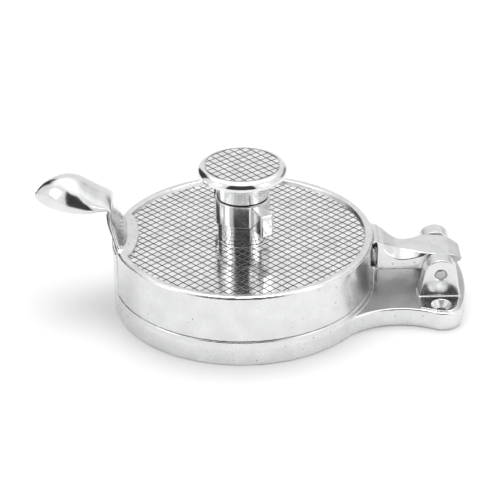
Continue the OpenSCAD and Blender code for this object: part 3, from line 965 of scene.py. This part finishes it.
def aluminium(name, bright, rough, wave, pitting, streak=(1, 1, 1), floor_z=None):
    """Polished aluminium castings.

    bright is its reflectance, rough the middle of its roughness, wave the
    height of the slow ripple that polishing leaves, pitting the share of
    casting pits, streak the stretch of its polishing marks, and floor_z the
    height in millimetres under which upward faces get painted shade, a darker grainy colour
    standing in for the dark reflections there, and a rougher finish.
    """
    n = Nodes(name)
    cloud = n.noise(9, 4, 0.6)
    fine = n.noise(0.9, 3, 0.6, streak)
    hair = n.noise(0.35, 2, 0.7, streak)
    speck = n.pits(2.6, 0.16, pitting)
    tiny = n.pits(1.1, 0.13, pitting * 0.8)
    holes = n.math("MAXIMUM", speck, tiny)
    colour = n.mix(n.ramp(cloud, 0.3, 0.7), grey(bright * 0.9, 0.004), grey(bright, 0.004))
    colour = n.mix(n.math("MULTIPLY", holes, 0.75), colour, grey(0.16))
    roughness = n.math("ADD", n.ramp(cloud, 0.25, 0.75, rough * 0.7, rough * 1.35),
                       n.ramp(fine, 0.3, 0.8, -0.02, 0.06))
    roughness = n.math("ADD", roughness, n.math("MULTIPLY", holes, 0.3))
    normal = n.bump(n.noise(7, 2, 0.5), wave)
    normal = n.bump(fine, wave * 0.08, normal)
    normal = n.bump(hair, wave * 0.015, normal)
    normal = n.bump(holes, -0.05, normal)
    if floor_z is not None:
        # Painted shade: upward faces below floor_z get a darker, grainy colour in place of the
        # dark reflections there, and a rougher finish
        height = n.split(n.place)[2]
        facing_up = n.split(n.add("ShaderNodeNewGeometry").outputs["Normal"])[2]
        low = n.ramp(height, floor_z * MM, (floor_z + 0.25) * MM, 1.0, 0.0)
        rough_and_painted_shade = n.math("MULTIPLY", low, n.ramp(facing_up, 0.9, 0.98))
        grain = n.noise(1.2, 4, 0.7)
        colour = n.mix(rough_and_painted_shade, colour, n.mix(grain, grey(0.4), grey(0.56)))
        roughness = n.math("ADD", roughness, n.math("MULTIPLY", rough_and_painted_shade, 0.22))
    n.join(colour, n.shader.inputs["Base Color"])
    n.join(roughness, n.shader.inputs["Roughness"])
    n.join(normal, n.shader.inputs["Normal"])
    n.shader.inputs["Metallic"].default_value = 1.0
    return n.material


def waffle_aluminium(name, top, bright, rough, facing):
    """Bright squares, with painted shade down in the grooves: near black there, and duller."""
    n = Nodes(name)
    height = n.math("MULTIPLY", n.split(n.place)[2], facing)
    level = facing * top
    sunk = n.ramp(height, (level - 0.09) * MM, (level - 0.015) * MM, 1.0, 0.0)
    cloud = n.noise(6, 3, 0.6)
    patch = n.noise(2.4, 2, 0.5)
    colour = n.mix(n.ramp(cloud, 0.3, 0.7), grey(bright * 0.86), grey(bright))
    # Painted shade: the grooves are coloured near black
    colour = n.mix(n.math("MULTIPLY", sunk, 0.97), colour, grey(0.02))
    roughness = n.math("ADD", n.ramp(patch, 0.25, 0.75, rough * 0.7, rough * 1.4),
                       n.math("MULTIPLY", sunk, 0.3))
    normal = n.bump(n.noise(5, 2, 0.5), 0.05)
    normal = n.bump(n.noise(0.8, 3, 0.6), 0.004, normal)
    n.join(colour, n.shader.inputs["Base Color"])
    n.join(roughness, n.shader.inputs["Roughness"])
    n.join(normal, n.shader.inputs["Normal"])
    n.shader.inputs["Metallic"].default_value = 1.0
    return n.material


def steel(name):
    """Ground steel with fine marks round it."""
    n = Nodes(name)
    marks = n.noise(0.5, 3, 0.7, (1, 1, 5))
    n.join(n.mix(marks, grey(0.42), grey(0.58)), n.shader.inputs["Base Color"])
    n.join(n.ramp(marks, 0.2, 0.8, 0.22, 0.4), n.shader.inputs["Roughness"])
    n.join(n.bump(marks, 0.004), n.shader.inputs["Normal"])
    n.shader.inputs["Metallic"].default_value = 1.0
    return n.material


def washer_plastic(name):
    """Matt black plastic."""
    n = Nodes(name)
    grain = n.noise(0.4, 3, 0.6)
    n.join(n.mix(grain, grey(0.012), grey(0.03)), n.shader.inputs["Base Color"])
    n.join(n.ramp(grain, 0.2, 0.8, 0.45, 0.65), n.shader.inputs["Roughness"])
    n.join(n.bump(grain, 0.01), n.shader.inputs["Normal"])
    return n.material


# ---------------------------------------------------------------- assembly

def finish_piece(piece, body, slot, material, *nodes):
    """Gives a piece its material and its body, and hides the nodes it replaces. The slot is not
    used.
    """
    piece.data.materials.clear()
    piece.data.materials.append(material)
    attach(piece, body)
    if nodes:
        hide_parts(*nodes)
    return piece


WALL_MARKS, TURNING_MARKS = (1, 1, 0.35), (1, 1, 4)
LID_METAL = aluminium("lid_metal", bright=0.79, rough=0.2, wave=0.1, pitting=0.1,
                      streak=WALL_MARKS)
ARM_METAL = aluminium("arm_metal", bright=0.79, rough=0.16, wave=0.06, pitting=0.16)
HANDLE_METAL = aluminium("handle_metal", bright=0.8, rough=0.15, wave=0.07, pitting=0.05)
# The base's upward faces below floor_z get painted shade
BASE_METAL = aluminium("base_metal", bright=0.81, rough=0.22, wave=0.1, pitting=0.12,
                       streak=WALL_MARKS, floor_z=TAIL_T + 0.1)
TURNED_METAL = aluminium("turned_metal", bright=0.86, rough=0.1, wave=0.03, pitting=0.02,
                         streak=TURNING_MARKS)
RING_METAL = aluminium("ring_metal", bright=0.84, rough=0.12, wave=0.05, pitting=0.05)
PLATE_METAL = aluminium("plate_metal", bright=0.8, rough=0.24, wave=0.05, pitting=0.03)
STEEL = steel("steel")

# Name, shape, corners of the box it lies in, cell, shading shape, body, material,
# slot and the nodes it replaces
field_pieces = (
    ("lid_body", lid_round, (-64, -63, 11), (67.5, 63, 37), 0.7, lid_field, "lid", LID_METAL,
     "lid_aluminium", ("lid",)),
    ("lid_arm", lid_arm, (62.5, -11.5, 12), (105.5, 11.5, 36), 0.4, lid_field, "lid",
     ARM_METAL, "lid_aluminium", ()),
    ("lid_neck", neck_field, (-13.5, -13.5, 30.5), (13.5, 13.5, 45), 0.3, None, "lid",
     RING_METAL, "lid_aluminium", ()),
    ("base_tray", base_round, (-63, -63, -1.5), (73.5, 63, 13.5), 0.7, base_field, "base",
     BASE_METAL, "base_aluminium", ("base",)),
    ("base_tail", base_tail, (68.5, -36, -1.5), (107.5, 36, 30), 0.42, base_field, "base",
     BASE_METAL, "base_aluminium", ()),
    ("ring_body", ring_field, (-25, -25, 35), (25, 25, 56), 0.32, None, "ring", RING_METAL,
     "turned_aluminium", ("stop_ring",)),
)
for name, field, low, high, cell, shading, body, metal, slot, nodes in field_pieces:
    piece = field_mesh(name, field, low, high, cell, shading)
    finish_piece(piece, body, slot, metal, *nodes)

finish_piece(make_handle(), "lid", "lid_aluminium", HANDLE_METAL)
finish_piece(make_pin(), "base", "steel", STEEL, "hinge_pin")
finish_piece(make_knob(), "plunger", "turned_aluminium", TURNED_METAL, "knob")
finish_piece(make_stem(), "plunger", "steel", STEEL, "plunger_stem")
finish_piece(make_plate(), "plunger", "plate_aluminium", PLATE_METAL, "press_plate")
finish_piece(make_washer(), "collar", "washer_plastic", washer_plastic("washer_black"),
             "thrust_washer")

# Name, radius, height, turn, facing, hole, root, body, slot, brightness, roughness
waffle_pieces = (
    ("lid_waffle", 57.15, FIELD_Z, LID_GROOVE_TURN, 1, NECK_R - 1, 0.14, "lid",
     "lid_aluminium", 0.95, 0.13),
    ("knob_waffle", 17.35, KNOB_TOP, KNOB_GROOVE_TURN, 1, 0, 0.1, "plunger",
     "turned_aluminium", 0.93, 0.13),
    ("base_waffle", 57.3, FLOOR_T, LID_GROOVE_TURN, 1, 0, 0.14, "base",
     "base_aluminium", 0.76, 0.2),
    ("plate_waffle", PLATE_BOX[1][0] - 1.25, PLATE_BOX[0][2], LID_GROOVE_TURN, -1, 5.15, 0.14,
     "plunger", "plate_aluminium", 0.76, 0.2),
)
for name, radius, top, turn, facing, hole, root, body, slot, bright, rough in waffle_pieces:
    finish_piece(waffle(name, radius, top, turn, facing, hole, root), body, slot,
                 waffle_aluminium(name + "_metal", top, bright, rough, facing))

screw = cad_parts["plate_screw"]
screw.data.materials.clear()
screw.data.materials.append(STEEL)


# ------------------------------------------------------------------- stage

def make_floor():
    """A plain pale floor."""
    reach = 3.0
    mesh = bpy.data.meshes.new("floor")
    mesh.from_pydata([(-reach, -reach, 0), (reach, -reach, 0), (reach, reach, 0),
                      (-reach, reach, 0)], [], [(0, 1, 2, 3)])
    floor = bpy.data.objects.new("floor", mesh)
    bpy.context.scene.collection.objects.link(floor)
    material = bpy.data.materials.new("floor_white")
    material.use_nodes = True
    shader = material.node_tree.nodes["Principled BSDF"]
    shader.inputs["Base Color"].default_value = (0.95, 0.95, 0.95, 1)
    shader.inputs["Roughness"].default_value = 0.9
    shader.inputs["Specular IOR Level"].default_value = 0.1
    mesh.materials.append(material)
    floor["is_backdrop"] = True


def make_lamp(name, place, target, size, watts):
    """A soft box at a place in metres, turned to its target."""
    lamp = bpy.data.lights.new(name, "AREA")
    lamp.shape = "RECTANGLE"
    lamp.size, lamp.size_y = size
    lamp.energy = watts
    box = bpy.data.objects.new(name, lamp)
    box.location = place
    box.rotation_mode = "QUATERNION"
    box.rotation_quaternion = (Vector(target) - Vector(place)).to_track_quat("-Z", "Y")
    bpy.context.scene.collection.objects.link(box)


class Sky(Graph):
    """The studio round the press, as brightness by direction."""

    def __init__(self):
        world = bpy.data.worlds.new("studio")
        bpy.context.scene.world = world
        world.use_nodes = True
        super().__init__(world.node_tree)
        x, y, self.z = self.split(self.add("ShaderNodeTexCoord").outputs["Generated"])
        self.azimuth = self.math("ARCTAN2", x, self.math("MULTIPLY", y, -1.0))

    def patch(self, azimuths, elevations, soft):
        """1 between two azimuths from the front and two elevations, in degrees."""
        left, right = map(math.radians, azimuths)
        low, high = (math.sin(math.radians(e)) for e in elevations)
        edge = math.radians(soft)
        wide = self.math("MULTIPLY", self.ramp(self.azimuth, left - edge, left + edge),
                         self.ramp(self.azimuth, right - edge, right + edge, 1.0, 0.0))
        tall = self.math("MULTIPLY", self.ramp(self.z, low - edge, low + edge),
                         self.ramp(self.z, high - edge, high + edge, 1.0, 0.0))
        return self.math("MULTIPLY", wide, tall)

    def toward(self, value, share, level):
        """Draws a brightness to a level where share is 1."""
        gap = self.math("SUBTRACT", level, value)
        return self.math("ADD", value, self.math("MULTIPLY", gap, share))


BACK_LIGHT, TOP_LIGHT = 0.9, 1.25
# The light goes over from back to top between these heights, 1 being overhead.
TOP_FROM, TOP_TO = 0.55, 0.8
# Azimuths from the front (to the right is positive), elevations, softness, level
SKY_PATCHES = (
    ((-42, 34), (-20, 60), 3.0, 0.05),
    ((-88, -42), (-20, 60), 4.0, 0.95),
    ((34, 88), (-20, 60), 3.0, 1.0),
    ((112, 150), (-15, 20), 5.0, 0.3),
    ((-150, -112), (-15, 40), 4.0, 0.05),
)


def make_world():
    """Bright walls behind and at the sides, dark ones in front and aslant behind."""
    sky = Sky()
    light = sky.toward(BACK_LIGHT, sky.ramp(sky.z, TOP_FROM, TOP_TO), TOP_LIGHT)
    for azimuths, elevations, soft, level in SKY_PATCHES:
        light = sky.toward(light, sky.patch(azimuths, elevations, soft), level)
    background = sky.tree.nodes["Background"]
    background.inputs["Color"].default_value = (1, 1, 1, 1)
    sky.join(light, background.inputs["Strength"])


def make_camera():
    """The camera, from the front and a little above."""
    azimuth, elevation, roll = map(math.radians, (-0.33, 28.93, 0.67))
    distance, side, height, lens = 0.889, 0.00316, 0.0257, 134.6
    back = Vector((math.sin(azimuth) * math.cos(elevation),
                   -math.cos(azimuth) * math.cos(elevation), math.sin(elevation)))
    right = Vector((math.cos(azimuth), math.sin(azimuth), 0))
    up = back.cross(right)
    camera = bpy.data.cameras.new("camera")
    camera.sensor_width, camera.lens = 36.0, lens
    camera.clip_start, camera.clip_end = 0.01, 20.0
    view = bpy.data.objects.new("camera", camera)
    view.location = right * side + Vector((0, 0, height)) + back * distance
    turned_right = right * math.cos(roll) - up * math.sin(roll)
    turned_up = right * math.sin(roll) + up * math.cos(roll)
    view.rotation_mode = "QUATERNION"
    view.rotation_quaternion = Matrix((turned_right, turned_up, back)).transposed().to_quaternion()
    bpy.context.scene.collection.objects.link(view)
    bpy.context.scene.camera = view


bpy.context.scene.view_settings.view_transform = "Standard"
make_floor()
make_world()
MIDDLE = (0, 0, 0.03)
make_lamp("overhead", place=(0.0, 0.25, 1.4), target=(0, 0, 0), size=(1.0, 0.9), watts=5.5)
make_lamp("left", place=(-1.3, -0.5, 0.7), target=MIDDLE, size=(0.5, 0.9), watts=2)
make_lamp("right", place=(1.2, -0.7, 0.7), target=MIDDLE, size=(0.5, 0.9), watts=2)
make_camera()

low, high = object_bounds()
